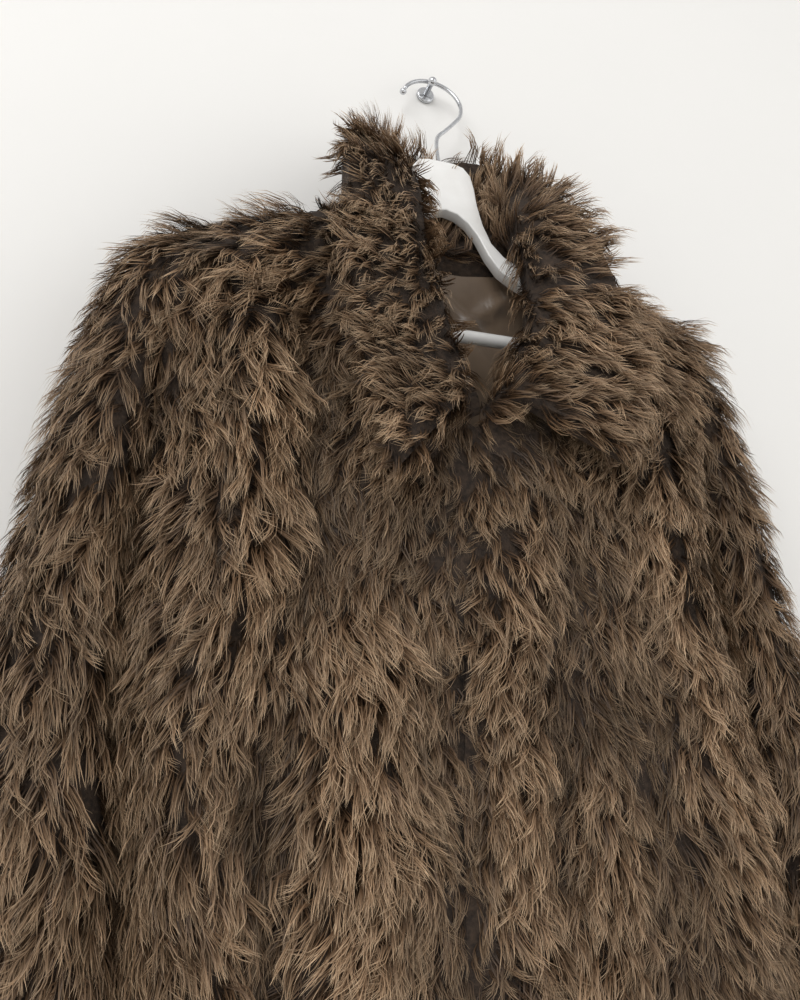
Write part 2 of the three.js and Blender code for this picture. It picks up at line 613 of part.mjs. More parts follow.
function wallHook() {
  const hook = new THREE.Group();
  hook.add(piece('wall_plate', wallPlate(), COLOURS.chrome, 0.15, 1));
  hook.add(piece('wall_prong', wallProng(), COLOURS.chrome, 0.15, 1));
  return hook;
}

const part = new THREE.Group();
part.add(furJacket(), hangerOnHook(), wallHook());
export default part;
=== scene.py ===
"""A long-pile fur jacket on a white wooden hanger, dressed over its solid frame.

Metres. +X is to the right of a person facing the jacket, +Y goes into the wall, +Z is up.
"""
import enum
import logging
import math
from dataclasses import dataclass, field

import bpy
import numpy as np
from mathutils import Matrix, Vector
from mathutils.bvhtree import BVHTree


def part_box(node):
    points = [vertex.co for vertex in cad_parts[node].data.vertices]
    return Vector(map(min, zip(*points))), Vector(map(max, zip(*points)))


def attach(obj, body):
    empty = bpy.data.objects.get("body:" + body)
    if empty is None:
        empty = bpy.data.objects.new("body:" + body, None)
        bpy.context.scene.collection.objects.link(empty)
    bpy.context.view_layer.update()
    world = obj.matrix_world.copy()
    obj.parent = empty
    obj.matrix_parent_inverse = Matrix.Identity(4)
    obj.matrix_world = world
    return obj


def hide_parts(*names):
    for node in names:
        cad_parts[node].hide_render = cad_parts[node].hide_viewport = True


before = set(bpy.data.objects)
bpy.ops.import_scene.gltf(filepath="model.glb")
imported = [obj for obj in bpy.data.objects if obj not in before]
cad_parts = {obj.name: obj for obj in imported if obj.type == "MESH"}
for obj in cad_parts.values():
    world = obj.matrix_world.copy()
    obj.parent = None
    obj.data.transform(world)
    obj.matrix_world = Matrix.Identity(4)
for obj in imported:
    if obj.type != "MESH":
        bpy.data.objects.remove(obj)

log = logging.getLogger("fur_jacket")
ROOT = "root"
MERGE = 0.00002
FLOOR_Z = -1.55
WALL_CLEAR = 0.002       # the pile stops this far in front of the wall
HEM_LIMIT = 0.026        # how far pile may hang below the lowest cloth
FRONT_LIMIT = 0.011      # how far pile may stand in front of the collar
SIDE_LIMIT = 0.026       # how far pile may stand beyond the sleeves

# The line inside the body that its cloth looks away from.
BODY_AXIS_X = (-0.16, 0.13)
BODY_AXIS_Y = -0.062
BODY_AXIS_TOP = -0.262
SLEEVE_SLICE = 60        # faces in each slice of a sleeve that share one middle

# Large folds: how far in from the sides they are read, and the height that counts as full.
FOLD_HALF_WIDTH = 0.19
FOLD_HEIGHT = 0.005
FOLD_RISE = 0.5
# Painted light on the fold ridges and painted shade in the fold troughs, added to the locks' tone.
FOLD_PAINTED_LIGHT_AND_SHADE = 0.42

# How near another piece presses the pile down and darkens its tone with painted shade, and how much of
# the pile's height and tone then stays.
COLLAR_REACH, COLLAR_SHADE = 0.022, 0.4
BESIDE_REACH, BESIDE_SHADE = 0.014, 0.62
BESIDE_TOP = -0.3        # sleeve and body lie side by side below this height
OPENING_TOP = -0.40      # the front edges meet below this height
# The share of height and tone the pile keeps right at the centre front gap; the darker tone there is
# painted shade.
OPENING_SHADE = 0.1

HANGER_REACH = 0.007     # no lock grows this near the hanger
SEAM_LOOK = 0.002        # how far out a lock looks for the piece sewn over it
SEAM_REACH = 0.0019


class Lie(enum.Enum):
    """Which way the pile of a piece was brushed."""

    BODY = "down the body, outward at the shoulders"
    SLEEVE = "down the sleeve"
    COLLAR = "to the outer edge of the collar, and up behind the neck"
    UNDER = "down and outward under the collar"


def deselect() -> None:
    """Leaves nothing selected."""
    if bpy.context.mode != "OBJECT":
        bpy.ops.object.mode_set(mode="OBJECT")
    bpy.ops.object.select_all(action="DESELECT")


def merged_copy(node: str, name: str) -> bpy.types.Object:
    """Copies a frame node as a new piece with its loose triangles joined up.

    Args:
        node: the frame node to copy.
        name: the new piece's name.

    Returns:
        The new piece, selected and active.
    """
    deselect()
    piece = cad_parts[node].copy()
    piece.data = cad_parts[node].data.copy()
    piece.name = name
    piece.data.name = name
    piece.data.materials.clear()
    bpy.context.collection.objects.link(piece)
    piece.parent = None
    piece.select_set(True)
    bpy.context.view_layer.objects.active = piece
    bpy.ops.object.mode_set(mode="EDIT")
    bpy.ops.mesh.select_all(action="SELECT")
    bpy.ops.mesh.remove_doubles(threshold=MERGE)
    bpy.ops.object.mode_set(mode="OBJECT")
    bpy.ops.object.shade_smooth_by_angle(angle=math.radians(40))
    return piece


def apply_modifier(piece: bpy.types.Object, kind: str, **settings: object) -> None:
    """Adds one modifier to a piece and applies it.

    Args:
        piece: the piece to change.
        kind: Blender's name of the modifier type.
        settings: the modifier's own values.
    """
    deselect()
    piece.select_set(True)
    bpy.context.view_layer.objects.active = piece
    modifier = piece.modifiers.new(kind.lower(), kind)
    for key, value in settings.items():
        setattr(modifier, key, value)
    bpy.ops.object.modifier_apply(modifier=modifier.name)


# ------------------------------------------------------------------ finishes
def mottle_group() -> bpy.types.NodeTree:
    """Builds the shared group of soft, uneven tone that every finish here uses.

    Returns:
        A group with Vector, Scale, Low and High in, and Tone and Height out.
    """
    group = bpy.data.node_groups.new("soft_mottle", "ShaderNodeTree")
    for name, kind in (("Vector", "NodeSocketVector"), ("Scale", "NodeSocketFloat"),
                       ("Low", "NodeSocketFloat"), ("High", "NodeSocketFloat")):
        group.interface.new_socket(name, in_out="INPUT", socket_type=kind)
    for name in ("Tone", "Height"):
        group.interface.new_socket(name, in_out="OUTPUT", socket_type="NodeSocketFloat")
    nodes, links = group.nodes, group.links
    entry, out = nodes.new("NodeGroupInput"), nodes.new("NodeGroupOutput")
    noise = nodes.new("ShaderNodeTexNoise")
    noise.inputs["Detail"].default_value = 5
    spread = nodes.new("ShaderNodeMapRange")
    links.new(entry.outputs["Vector"], noise.inputs["Vector"])
    links.new(entry.outputs["Scale"], noise.inputs["Scale"])
    links.new(noise.outputs["Fac"], spread.inputs["Value"])
    spread.inputs["From Min"].default_value = 0.3
    spread.inputs["From Max"].default_value = 0.7
    links.new(entry.outputs["Low"], spread.inputs["To Min"])
    links.new(entry.outputs["High"], spread.inputs["To Max"])
    links.new(spread.outputs["Result"], out.inputs["Tone"])
    links.new(noise.outputs["Fac"], out.inputs["Height"])
    return group


MOTTLE = mottle_group()


class Finish:
    """What every finish shares: an empty material with a Principled shader and mottling."""

    @staticmethod
    def start(name: str, scale: float, low: float, high: float) -> tuple:
        """Makes the material, its shader and its mottling.

        Args:
            name: the material's name.
            scale: how fine the mottling is, per metre.
            low: the least tone.
            high: the greatest tone.

        Returns:
            The material, its node tree, the Principled node and the mottling node.
        """
        material = bpy.data.materials.new(name)
        material.use_nodes = True
        tree = material.node_tree
        shader = tree.nodes["Principled BSDF"]
        mottle = tree.nodes.new("ShaderNodeGroup")
        mottle.node_tree = MOTTLE
        place = tree.nodes.new("ShaderNodeTexCoord")
        tree.links.new(place.outputs["Object"], mottle.inputs["Vector"])
        mottle.inputs["Scale"].default_value = scale
        mottle.inputs["Low"].default_value = low
        mottle.inputs["High"].default_value = high
        return material, tree, shader, mottle

    @staticmethod
    def ramp(tree: bpy.types.NodeTree, stops: tuple) -> bpy.types.Node:
        """Makes a colour ramp.

        Args:
            tree: the material's node tree.
            stops: pairs of place and colour, in order.

        Returns:
            The ramp node.
        """
        node = tree.nodes.new("ShaderNodeValToRGB")
        steps = node.color_ramp.elements
        while len(steps) < len(stops):
            steps.new(0.5)
        for step, (place, colour) in zip(steps, stops):
            step.position = place
            step.color = (*colour, 1)
        return node

    @staticmethod
    def bump(tree: bpy.types.NodeTree, shader: bpy.types.Node, height: bpy.types.NodeSocket,
             strength: float, distance: float) -> None:
        """Feeds a height to the shader as a bump.

        Args:
            tree: the material's node tree.
            shader: the Principled node.
            height: the socket that gives the height.
            strength: how much of the bump shows.
            distance: its depth in metres.
        """
        node = tree.nodes.new("ShaderNodeBump")
        node.inputs["Strength"].default_value = strength
        node.inputs["Distance"].default_value = distance
        tree.links.new(height, node.inputs["Height"])
        tree.links.new(node.outputs["Normal"], shader.inputs["Normal"])

    @staticmethod
    def tinted(tree: bpy.types.NodeTree, colour: bpy.types.NodeSocket,
               tone: bpy.types.NodeSocket) -> bpy.types.NodeSocket:
        """Multiplies a colour by a tone.

        Args:
            tree: the material's node tree.
            colour: the colour's socket.
            tone: the tone's socket.

        Returns:
            The tinted colour's socket.
        """
        node = tree.nodes.new("ShaderNodeVectorMath")
        node.operation = "SCALE"
        tree.links.new(colour, node.inputs["Vector"])
        tree.links.new(tone, node.inputs["Scale"])
        return node.outputs["Vector"]


@dataclass(frozen=True)
class PileFinish(Finish):
    """Fur fibres: dark at the roots, paler to the tips, each lock in its own tone, with painted light
    and shade from the folds, the collar and the front gap in it.
    """

    name: str = "long_pile"
    root: tuple = (0.014, 0.0078, 0.0042)
    middle: tuple = (0.095, 0.054, 0.028)
    upper: tuple = (0.225, 0.146, 0.085)
    tip: tuple = (0.47, 0.345, 0.225)

    def build(self) -> bpy.types.Material:
        """Returns the material, which reads the piece's Fibre map (tone with its painted light and
        shade across, root to tip up).
        """
        material, tree, shader, mottle = self.start(self.name, 16, 0.78, 1.2)
        fibre = tree.nodes.new("ShaderNodeUVMap")
        fibre.uv_map = "Fibre"
        split = tree.nodes.new("ShaderNodeSeparateXYZ")
        tree.links.new(fibre.outputs["UV"], split.inputs["Vector"])
        along = self.ramp(tree, ((0.0, self.root), (0.42, self.middle), (0.75, self.upper),
                                 (1.0, self.tip)))
        tree.links.new(split.outputs["Y"], along.inputs["Fac"])
        lock = tree.nodes.new("ShaderNodeMapRange")
        lock.inputs["To Min"].default_value = 0.28
        lock.inputs["To Max"].default_value = 1.8
        tree.links.new(split.outputs["X"], lock.inputs["Value"])
        first = self.tinted(tree, along.outputs["Color"], lock.outputs["Result"])
        tree.links.new(self.tinted(tree, first, mottle.outputs["Tone"]), shader.inputs["Base Color"])
        shader.inputs["Roughness"].default_value = 0.5
        shader.inputs["Specular IOR Level"].default_value = 0.28
        return material


@dataclass(frozen=True)
class BackingFinish(Finish):
    """The dense short undercoat that shows between the locks."""

    name: str = "undercoat"
    dark: tuple = (0.014, 0.0085, 0.0055)
    light: tuple = (0.05, 0.031, 0.019)

    def build(self) -> bpy.types.Material:
        """Returns the material."""
        material, tree, shader, mottle = self.start(self.name, 260, 0.0, 1.0)
        tone = self.ramp(tree, ((0.0, self.dark), (1.0, self.light)))
        tree.links.new(mottle.outputs["Tone"], tone.inputs["Fac"])
        tree.links.new(tone.outputs["Color"], shader.inputs["Base Color"])
        shader.inputs["Roughness"].default_value = 0.92
        self.bump(tree, shader, mottle.outputs["Height"], 0.9, 0.0015)
        return material


@dataclass(frozen=True)
class SatinFinish(Finish):
    """Taupe satin with a fine twill and soft creases."""

    name: str = "satin"
    dark: tuple = (0.115, 0.078, 0.05)
    light: tuple = (0.235, 0.168, 0.113)

    def build(self) -> bpy.types.Material:
        """Returns the material."""
        material, tree, shader, mottle = self.start(self.name, 22, 0.15, 0.9)
        tone = self.ramp(tree, ((0.0, self.dark), (1.0, self.light)))
        tree.links.new(mottle.outputs["Tone"], tone.inputs["Fac"])
        tree.links.new(tone.outputs["Color"], shader.inputs["Base Color"])
        twill = tree.nodes.new("ShaderNodeTexWave")
        twill.bands_direction = "DIAGONAL"
        twill.inputs["Scale"].default_value = 420
        place = tree.nodes.new("ShaderNodeTexCoord")
        tree.links.new(place.outputs["Object"], twill.inputs["Vector"])
        self.bump(tree, shader, twill.outputs["Fac"], 0.25, 0.0002)
        shader.inputs["Roughness"].default_value = 0.34
        shader.inputs["Sheen Weight"].default_value = 0.35
        return material


@dataclass(frozen=True)
class PaintFinish(Finish):
    """White gloss paint on wood, a little uneven."""

    name: str = "white_gloss_paint"
    low: tuple = (0.80, 0.79, 0.765)
    high: tuple = (0.90, 0.895, 0.88)

    def build(self) -> bpy.types.Material:
        """Returns the material."""
        material, tree, shader, mottle = self.start(self.name, 30, 0.0, 1.0)
        tone = self.ramp(tree, ((0.0, self.low), (1.0, self.high)))
        tree.links.new(mottle.outputs["Tone"], tone.inputs["Fac"])
        tree.links.new(tone.outputs["Color"], shader.inputs["Base Color"])
        shader.inputs["Roughness"].default_value = 0.26
        shader.inputs["Coat Weight"].default_value = 0.35
        self.bump(tree, shader, mottle.outputs["Height"], 0.12, 0.0006)
        return material


@dataclass(frozen=True)
class ChromeFinish(Finish):
    """Polished chrome with faint handling marks."""

    name: str = "chrome"
    low: tuple = (0.52, 0.53, 0.55)
    high: tuple = (0.70, 0.71, 0.73)

    def build(self) -> bpy.types.Material:
        """Returns the material."""
        material, tree, shader, mottle = self.start(self.name, 300, 0.10, 0.26)
        tone = self.ramp(tree, ((0.0, self.low), (0.4, self.high)))
        tree.links.new(mottle.outputs["Tone"], tone.inputs["Fac"])
        tree.links.new(tone.outputs["Color"], shader.inputs["Base Color"])
        tree.links.new(mottle.outputs["Tone"], shader.inputs["Roughness"])
        shader.inputs["Metallic"].default_value = 1
        return material


@dataclass(frozen=True)
class RoomFinish(Finish):
    """Matt pale paint for the wall and the floor, seen only from its front."""

    name: str
    colour: tuple = (0.84, 0.83, 0.81)

    def build(self) -> bpy.types.Material:
        """Returns the material, which is clear from behind so that rear views see the jacket."""
        material, tree, shader, mottle = self.start(self.name, 3, 0.985, 1.0)
        base = self.ramp(tree, ((0.0, self.colour), (1.0, self.colour)))
        colour = self.tinted(tree, base.outputs["Color"], mottle.outputs["Tone"])
        tree.links.new(colour, shader.inputs["Base Color"])
        shader.inputs["Roughness"].default_value = 0.9
        clear = tree.nodes.new("ShaderNodeBsdfTransparent")
        choose = tree.nodes.new("ShaderNodeMixShader")
        side = tree.nodes.new("ShaderNodeNewGeometry")
        out = tree.nodes["Material Output"]
        tree.links.new(side.outputs["Backfacing"], choose.inputs["Fac"])
        tree.links.new(shader.outputs["BSDF"], choose.inputs[1])
        tree.links.new(clear.outputs["BSDF"], choose.inputs[2])
        tree.links.new(choose.outputs["Shader"], out.inputs["Surface"])
        return material


# ------------------------------------------------------------------ fibres
@dataclass(frozen=True)
class Locks:
    """How the fibres of a pile gather: many tapered fibres in each curved, pointed lock."""

    fibres: int = 12
    spread: float = 0.0058
    fibre_width: float = 0.00085
    gather: float = 0.86
    sink: float = 0.0022
    levels: tuple = (0.0, 0.4, 0.76, 1.0)
    taper: tuple = (1.0, 0.95, 0.6, 0.0)


def unit(rows: np.ndarray) -> np.ndarray:
    """Scales each row to length 1."""
    return rows / np.maximum(np.linalg.norm(rows, axis=-1, keepdims=True), 1e-9)


def clamp01(values: np.ndarray) -> np.ndarray:
    """Limits values to the range 0 to 1."""
    return np.clip(values, 0, 1)


class Surroundings:
    """Where the other pieces are, so that no lock grows inside the coat or on the hanger."""

    def __init__(self) -> None:
        """Builds one search tree per frame node."""
        self.trees = {name: self.tree(node) for name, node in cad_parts.items()}

    @staticmethod
    def tree(node: bpy.types.Object) -> BVHTree:
        """Builds the search tree of one node.

        Args:
            node: the frame node.

        Returns:
            Its search tree.
        """
        mesh = node.data
        points = [v.co.copy() for v in mesh.vertices]
        return BVHTree.FromPolygons(points, [tuple(p.vertices) for p in mesh.polygons])

    def near(self, names: tuple, point: np.ndarray, reach: float) -> bool:
        """Says whether a point is within reach of any of the named nodes."""
        place = Vector(point)
        return any(self.trees[n].find_nearest(place, reach)[0] is not None for n in names)


@dataclass
class FurPiece:
    """One sewn piece of fur cloth: its backing and the pile that stands on it."""

    node: str
    lie: Lie
    locks: int
    length: float
    rise: float
    flat: tuple
    area: float
    seed: int
    hidden_by: tuple = ()
    brightness: float = 0.5
    opening_x: float = -0.0175
    opening_shade: float = 0.022
    style: Locks = field(default_factory=Locks)

    def cloth(self, finish: bpy.types.Material) -> bpy.types.Object:
        """Makes the backing cloth from the frame's solid.

        Args:
            finish: its material.

        Returns:
            The cloth.
        """
        piece = merged_copy(self.node, f"{self.node}_cloth")
        piece.data.materials.append(finish)
        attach(piece, ROOT)
        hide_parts(self.node)
        return piece

    def faces(self) -> tuple:
        """Reads the node's triangles.

        Returns:
            Corner points, middles, unit normals and areas.
        """
        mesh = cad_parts[self.node].data
        mesh.calc_loop_triangles()
        points = np.array([v.co[:] for v in mesh.vertices])
        corners = points[np.array([t.vertices[:] for t in mesh.loop_triangles])]
        cross = np.cross(corners[:, 1] - corners[:, 0], corners[:, 2] - corners[:, 0])
        area = np.linalg.norm(cross, axis=1) / 2
        return corners, corners.mean(axis=1), unit(cross), area

    def outward(self, middles: np.ndarray, normals: np.ndarray) -> np.ndarray:
        """Picks the faces that look out of the garment.

        Args:
            middles: the faces' middles.
            normals: their unit normals.

        Returns:
            True for each face that carries pile.
        """
        if self.lie in (Lie.COLLAR, Lie.UNDER):
            return np.ones(len(middles), bool)
        axis = middles.copy()
        if self.lie is Lie.BODY:
            axis[:, 0] = np.clip(middles[:, 0], *BODY_AXIS_X)
            axis[:, 1] = BODY_AXIS_Y
            axis[:, 2] = np.minimum(middles[:, 2], BODY_AXIS_TOP)
        else:
            order = np.argsort(middles[:, 2])
            for start in range(0, len(order), SLEEVE_SLICE):
                rows = order[start:start + SLEEVE_SLICE]
                low, high = middles[rows].min(axis=0), middles[rows].max(axis=0)
                axis[rows, :2] = ((low + high) / 2)[:2]
        toward = middles - axis
        return (normals * toward).sum(axis=1) > 0.0

    def brushed(self, p: np.ndarray) -> np.ndarray:
        """Gives the way the pile was brushed.

        Args:
            p: the places of the locks.

        Returns:
            One direction per lock.
        """
        side = np.sign(p[:, 0] + 0.004)
        down = np.stack([side * 0.06, 0 * side, -1 + 0 * side], axis=1)
        if self.lie is Lie.SLEEVE:
            shoulder = clamp01((p[:, 2] + 0.36) / 0.12)[:, None]
            return down + shoulder * np.stack([side * 0.9, 0 * side, 0.3 + 0 * side], axis=1)
        if self.lie is Lie.BODY:
            shoulder = clamp01((p[:, 2] + 0.33) / 0.1)[:, None]
            return down + shoulder * np.stack([side * 0.9, 0 * side, 0.3 + 0 * side], axis=1)
        behind = clamp01((p[:, 1] + 0.10) / 0.06)[:, None]
        front = np.stack([side * 0.95, -0.15 + 0 * side, -0.55 + 0 * side], axis=1)
        up = np.stack([side * 0.4, 0.0 * side, 1 + 0 * side], axis=1)
        if self.lie is Lie.UNDER:
            return front
        return front * (1 - behind) + up * behind

    def relief(self, p: np.ndarray) -> np.ndarray:
        """Says how far each lock lies on a ridge or in a trough of the large folds.

        Args:
            p: the places of the locks.

        Returns:
            About 1 on a ridge, 0 between and -1 in a trough.
        """
        if self.lie is not Lie.BODY:
            return np.zeros(len(p))
        x, y, z = p[:, 0] * 4, p[:, 1], (p[:, 2] + 0.5) * 3
        terms = np.stack([x ** i * z ** j for i in range(5) for j in range(4 - min(i, 3))], axis=1)
        inner = np.abs(p[:, 0]) < FOLD_HALF_WIDTH
        weights = np.linalg.lstsq(terms[inner], y[inner], rcond=None)[0]
        proud = (terms @ weights - y) / FOLD_HEIGHT
        facing = 1.0 if self.node.startswith("front") else -1.0
        return np.where(inner, np.clip(facing * proud, -1, 1), 0)

    def shade(self, p: np.ndarray, around: Surroundings) -> np.ndarray:
        """Says how much each lock is pressed flat and darkened with painted shade past the collar, the
        pieces beside it and the front edges.

        Args:
            p: the places of the locks.
            around: the other pieces.

        Returns:
            1 in the open, less where the pile is pressed flat and its tone darkened as painted shade.
        """
        if self.lie in (Lie.COLLAR, Lie.UNDER):
            return np.ones(len(p))
        beside = (("sleeve_left", "sleeve_right") if self.lie is Lie.BODY
                  else ("front_left", "front_right"))
        collar = ("upper_collar", "under_collar")
        open_air = np.array([COLLAR_SHADE if around.near(collar, q, COLLAR_REACH)
                             else BESIDE_SHADE
                             if q[2] < BESIDE_TOP and around.near(beside, q, BESIDE_REACH)
                             else 1.0 for q in p])
        # Painted shade along the centre front gap, below where the front edges meet.
        if self.node.startswith("front"):
            edge = clamp01(np.abs(p[:, 0] - self.opening_x) / self.opening_shade)
            pressed = OPENING_SHADE + (1 - OPENING_SHADE) * edge
            open_air = np.minimum(open_air, np.where(p[:, 2] < OPENING_TOP, pressed, 1.0))
        return open_air

    def seeds(self, rng: np.random.Generator, around: Surroundings) -> tuple:
        """Chooses where the locks grow.

        Args:
            rng: the piece's own seeded numbers.
            around: the other pieces.

        Returns:
            The places and the surface normals of the locks.
        """
        corners, middles, normals, area = self.faces()
        weight = np.where(self.outward(middles, normals), area, 0)
        pick = rng.choice(len(area), self.locks, p=weight / weight.sum())
        share = rng.random((self.locks, 2))
        fold = share.sum(axis=1) > 1
        share[fold] = 1 - share[fold]
        a, b, c = (corners[pick, k] for k in range(3))
        place = a + (b - a) * share[:, :1] + (c - a) * share[:, 1:]
        normal = normals[pick]
        hanger = ("hanger_body", "hanger_hook", "trouser_bar")
        keep = np.array([not around.near(hanger, q, HANGER_REACH)
                         and not (self.hidden_by
                                  and around.near(self.hidden_by, q + n * SEAM_LOOK, SEAM_REACH))
                         for q, n in zip(place, normal)])
        return place[keep], normal[keep]

    def pile(self, finish: bpy.types.Material, around: Surroundings) -> bpy.types.Object:
        """Grows the pile as one mesh of tapered fibres.

        Args:
            finish: its material.
            around: the other pieces.

        Returns:
            The pile.
        """
        rng, style = np.random.default_rng(self.seed), self.style
        seed_at, normal = self.seeds(rng, around)
        count = len(seed_at)
        nap = self.brushed(seed_at)
        nap = unit(nap - (nap * normal).sum(axis=1, keepdims=True) * normal)
        x, y, z = seed_at.T
        swirl = (0.26 * np.sin(33 * x + 17 * z + 1.3) + 0.22 * np.sin(57 * z - 29 * x + 11 * y)
                 + rng.normal(0, 0.26, count))
        across = np.cross(normal, nap)
        nap = nap * np.cos(swirl)[:, None] + across * np.sin(swirl)[:, None]
        across = np.cross(normal, nap)
        relief, light = self.relief(seed_at), self.shade(seed_at, around)
        lock_length = self.length * rng.uniform(0.75, 1.15, count) * (0.5 + 0.5 * light)
        lock_rise = self.rise * rng.uniform(0.55, 1.2, count) * light * (1 + FOLD_RISE * relief)
        lock_bend = rng.normal(0, 0.0032, count)
        # Painted light on the fold ridges and painted shade in the fold troughs, added to each lock's
        # tone.
        lock_tone = rng.normal(self.brightness, 0.15, count) + FOLD_PAINTED_LIGHT_AND_SHADE * relief
        # The locks' tone darkened as painted shade where the collar, the pieces beside and the front
        # gap would shadow them.
        lock_tone = clamp01(lock_tone * (0.15 + 0.85 * light))

        def wide(rows: np.ndarray) -> np.ndarray:
            """Repeats each lock's value for each of its fibres."""
            return np.repeat(rows, style.fibres, axis=0)

        total = count * style.fibres
        nap, across, normal = wide(nap), wide(across), wide(normal)
        angle, radius = rng.uniform(0, 2 * np.pi, total), style.spread * np.sqrt(rng.random(total))
        offset = nap * (radius * np.cos(angle))[:, None] + across * (radius * np.sin(angle))[:, None]
        length = wide(lock_length) * rng.uniform(0.7, 1.1, total)
        rise = wide(lock_rise) * rng.uniform(0.6, 1.15, total)
        bend = wide(lock_bend)
        stray = rng.normal(0, 0.07, total)
        root = wide(seed_at) - normal * style.sink
        side = unit(across + normal * rng.normal(0, 0.55, total)[:, None])
        width = style.fibre_width * rng.uniform(0.6, 1.25, total)

        rows = []
        for t, taper in zip(style.levels, style.taper):
            middle = (root + offset * (1 - style.gather * t)
                      + nap * (length * t)[:, None]
                      + across * (bend * math.sin(math.pi * t) * 1.6 + stray * length * t * t)[:, None]
                      + normal * (rise * (1 - (1 - t) ** 2))[:, None])
            middle = self.held_in(middle, rng)
            if taper == 0:
                rows.append(middle[:, None])
            else:
                half = side * (width * taper / 2)[:, None]
                rows.append(np.stack([middle - half, middle + half], axis=1))
        points = np.concatenate(rows, axis=1)
        corner = np.array([[0, 1, 3], [0, 3, 2], [2, 3, 5], [2, 5, 4], [4, 5, 6]])
        height = np.array([style.levels[0]] * 2 + [style.levels[1]] * 2 + [style.levels[2]] * 2
                          + [style.levels[3]])
        tone = clamp01(wide(lock_tone) * 0.75 + rng.random(total) * 0.25)
        return self.mesh_of(points, corner, height, tone, finish)

    @staticmethod
    def held_in(middle: np.ndarray, rng: np.random.Generator) -> np.ndarray:
        """Keeps fibres off the wall and inside the space the garment may take.

        Args:
            middle: points along the fibres.
            rng: the piece's own seeded numbers.

        Returns:
            The points, moved where they had to be.
        """
        jitter = rng.uniform(0, 0.0025, len(middle))
        low, high = Vector(CLOTH_BOX[0]), Vector(CLOTH_BOX[1])
        middle[:, 0] = np.clip(middle[:, 0], low.x - SIDE_LIMIT, high.x + SIDE_LIMIT)
        middle[:, 1] = np.minimum(middle[:, 1], -WALL_CLEAR - jitter)
        middle[:, 1] = np.maximum(middle[:, 1], low.y - FRONT_LIMIT + jitter)
        middle[:, 2] = np.maximum(middle[:, 2], low.z - HEM_LIMIT + jitter * 3)
        return middle

    def mesh_of(self, points: np.ndarray, corner: np.ndarray, height: np.ndarray,
                tone: np.ndarray, finish: bpy.types.Material) -> bpy.types.Object:
        """Joins the fibres into one mesh.

        Args:
            points: seven points for each fibre.
            corner: the five triangles of one fibre.
            height: how far each of the seven points is from root to tip.
            tone: one tone for each fibre, its painted light and shade included.
            finish: the material.

        Returns:
            The pile.
        """
        total = len(points)
        triangles = (corner[None] + 7 * np.arange(total)[:, None, None]).reshape(-1, 3)
        mesh = bpy.data.meshes.new(f"{self.node}_pile")
        mesh.vertices.add(total * 7)
        mesh.vertices.foreach_set("co", points.reshape(-1).astype(np.float32))
        mesh.loops.add(len(triangles) * 3)
        mesh.loops.foreach_set("vertex_index", triangles.reshape(-1).astype(np.int32))
        mesh.polygons.add(len(triangles))
        mesh.polygons.foreach_set("loop_start", np.arange(0, len(triangles) * 3, 3, dtype=np.int32))
        mesh.update(calc_edges=True)
        uv = np.stack([np.repeat(tone, 7), np.tile(height, total)], axis=1)
        layer = mesh.uv_layers.new(name="Fibre")
        layer.data.foreach_set("uv", uv[triangles.reshape(-1)].reshape(-1).astype(np.float32))
        mesh.materials.append(finish)
        piece = bpy.data.objects.new(f"{self.node}_pile", mesh)
        bpy.context.collection.objects.link(piece)
        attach(piece, ROOT)
        return piece

    def make(self, backing: bpy.types.Material, fibres: bpy.types.Material,
             around: Surroundings) -> None:
        """Args:
            backing: the undercoat's material.
            fibres: the pile's material.
            around: the other pieces.
        """
        cloth = self.cloth(backing)
        pile = self.pile(fibres, around)
        log.info("%s: %d triangles of pile", self.node, len(pile.data.polygons))


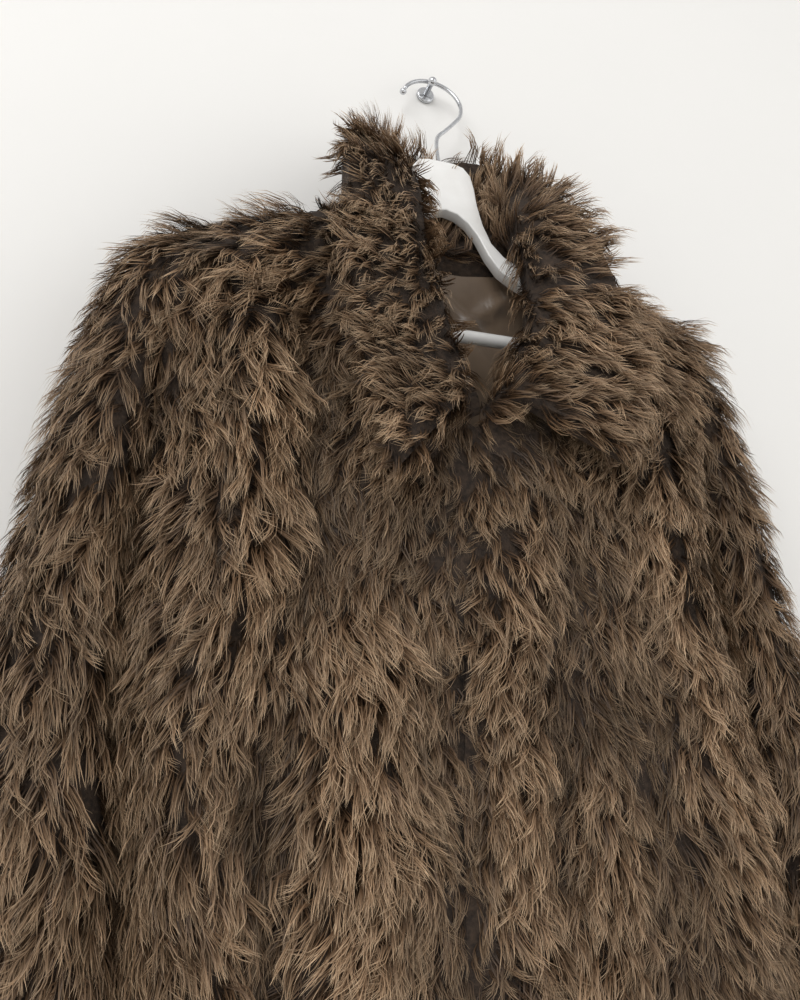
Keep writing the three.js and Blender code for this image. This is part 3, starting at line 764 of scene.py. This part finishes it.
@dataclass
class FurJacket:
    """The jacket: seven pieces of fur cloth and the satin lining that shows at the neck."""

    pieces: tuple = (
        FurPiece("back", Lie.BODY, 2000, 0.036, 0.012, (0.56, 0.66), 0.27, 11),
        FurPiece("front_right", Lie.BODY, 3150, 0.036, 0.015, (0.30, 0.66), 0.135, 12),
        FurPiece("front_left", Lie.BODY, 3150, 0.036, 0.015, (0.30, 0.66), 0.135, 13),
        FurPiece("sleeve_right", Lie.SLEEVE, 2450, 0.036, 0.015, (0.38, 0.58), 0.088, 14),
        FurPiece("sleeve_left", Lie.SLEEVE, 2200, 0.036, 0.015, (0.38, 0.58), 0.088, 15),
        FurPiece("upper_collar", Lie.COLLAR, 2500, 0.028, 0.015, (0.88, 0.13), 0.067, 16,
                 ("under_collar",), brightness=0.66),
        FurPiece("under_collar", Lie.UNDER, 1100, 0.022, 0.010, (0.86, 0.12), 0.063, 17,
                 ("upper_collar", "back", "front_left", "front_right"), brightness=0.4),
    )
    lining_flat: tuple = (0.40, 0.60)
    lining_area: float = 0.18
    # Creases of the lining: (x0, z0) to (x1, z1), half width and depth, in metres.
    creases: tuple = (
        (-0.05, -0.19, 0.09, -0.31, 0.007, 0.006),
        (0.07, -0.22, -0.07, -0.33, 0.006, 0.005),
        (-0.02, -0.24, 0.02, -0.42, 0.008, 0.004),
    )

    def lining(self, finish: bpy.types.Material) -> bpy.types.Object:
        """Makes the back lining, with soft creases.

        Args:
            finish: its material.

        Returns:
            The lining.
        """
        piece = merged_copy("lining_back", "satin_lining")
        apply_modifier(piece, "SUBSURF", levels=3, render_levels=3, subdivision_type="SIMPLE")
        for vertex in piece.data.vertices:
            for x0, z0, x1, z1, wide, deep in self.creases:
                start, run = Vector((x0, z0)), Vector((x1 - x0, z1 - z0))
                here = Vector((vertex.co.x, vertex.co.z)) - start
                t = min(1.0, max(0.0, here.dot(run) / run.length_squared))
                gap = (here - run * t).length / wide
                vertex.co.y -= deep * math.exp(-gap * gap)
        piece.data.materials.append(finish)
        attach(piece, ROOT)
        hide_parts("lining_back")
        log.info("satin_lining: %d faces", len(piece.data.polygons))
        return piece

    def make(self) -> None:
        """Makes every piece of the jacket."""
        around = Surroundings()
        backing, fibres = BackingFinish().build(), PileFinish().build()
        for piece in self.pieces:
            piece.make(backing, fibres, around)
        self.lining(SatinFinish().build())


@dataclass
class HangerAndHook:
    """The painted hanger, its wire hook and the small hook on the wall."""

    painted: tuple = ("hanger_body", "trouser_bar")
    plated: tuple = ("hanger_hook", "hook_ball", "wall_plate", "wall_prong")

    def make(self) -> None:
        """Replaces each solid with a smooth-shaded copy of itself in its real finish."""
        paint, chrome = PaintFinish().build(), ChromeFinish().build()
        for node in self.painted + self.plated:
            gloss = node in self.painted
            piece = merged_copy(node, f"{node}_{'painted' if gloss else 'plated'}")
            piece.data.materials.append(paint if gloss else chrome)
            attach(piece, ROOT)
            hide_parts(node)
            log.info("%s: %d faces", piece.name, len(piece.data.polygons))


@dataclass
class Room:
    """The pale wall and floor, the soft lights and the camera."""

    eye: tuple = (-0.26524, -0.73963, -0.65896)
    pitch: float = 108.0
    yaw: float = -18.0
    lens: float = 36.0

    def plane(self, name: str, size: float, place: tuple, turn: tuple) -> None:
        """Adds one plane of the room.

        Args:
            name: its name.
            size: its side.
            place: its middle.
            turn: its rotation in radians.
        """
        deselect()
        bpy.ops.mesh.primitive_plane_add(size=size, location=place, rotation=turn)
        plane = bpy.context.object
        plane.name = name
        bpy.ops.object.transform_apply(location=True, rotation=True, scale=True)
        plane.data.materials.append(RoomFinish(f"{name}_paint").build())

    def light(self, name: str, power: float, size: float, place: tuple, aim: tuple) -> None:
        """Adds one soft light.

        Args:
            name: its name.
            power: its power in watts.
            size: its side in metres.
            place: where it is.
            aim: what it points at.
        """
        lamp = bpy.data.lights.new(name, "AREA")
        lamp.energy, lamp.size = power, size
        holder = bpy.data.objects.new(name, lamp)
        holder.location = place
        holder.rotation_euler = (Vector(aim) - Vector(place)).to_track_quat("-Z", "Y").to_euler()
        bpy.context.collection.objects.link(holder)

    def make(self) -> None:
        """Builds the room, lights it and places the camera."""
        self.plane("wall", 8.0, (0, 0.0008, 0), (math.radians(90), 0, 0))
        self.plane("floor", 8.0, (0, -2, FLOOR_Z), (0, 0, 0))
        self.light("window", 34, 1.6, (-1.3, -1.9, 0.9), (0, 0, -0.45))
        self.light("bounce", 12, 2.2, (1.9, -1.7, -0.1), (0, 0, -0.5))
        self.light("behind", 10, 2.0, (0.2, 2.2, 0.6), (0, 0, -0.5))
        world = bpy.data.worlds.new("soft_daylight")
        world.use_nodes = True
        world.node_tree.nodes["Background"].inputs["Color"].default_value = (1, 0.99, 0.975, 1)
        world.node_tree.nodes["Background"].inputs["Strength"].default_value = 0.62
        bpy.context.scene.world = world
        camera = bpy.data.cameras.new("camera")
        camera.lens, camera.sensor_width, camera.sensor_fit = self.lens, 36.0, "VERTICAL"
        camera.sensor_height = 36.0
        holder = bpy.data.objects.new("camera", camera)
        holder.location = self.eye
        holder.rotation_euler = (math.radians(self.pitch), 0, math.radians(self.yaw))
        bpy.context.collection.objects.link(holder)
        bpy.context.scene.camera = holder
        bpy.context.scene.view_settings.view_transform = "Standard"


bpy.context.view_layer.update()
CLOTH_NODES = ("back", "front_right", "front_left", "sleeve_right", "sleeve_left", "upper_collar")
CLOTH_BOX = (
    tuple(min(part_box(n)[0][k] for n in CLOTH_NODES) for k in range(3)),
    tuple(max(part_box(n)[1][k] for n in CLOTH_NODES) for k in range(3)),
)


def main() -> None:
    """Builds the room, the jacket, the hanger and the hook."""
    logging.basicConfig(level=logging.INFO, format="%(message)s")
    deselect()
    Room().make()
    FurJacket().make()
    HangerAndHook().make()
    deselect()


if __name__ == "__main__":
    main()
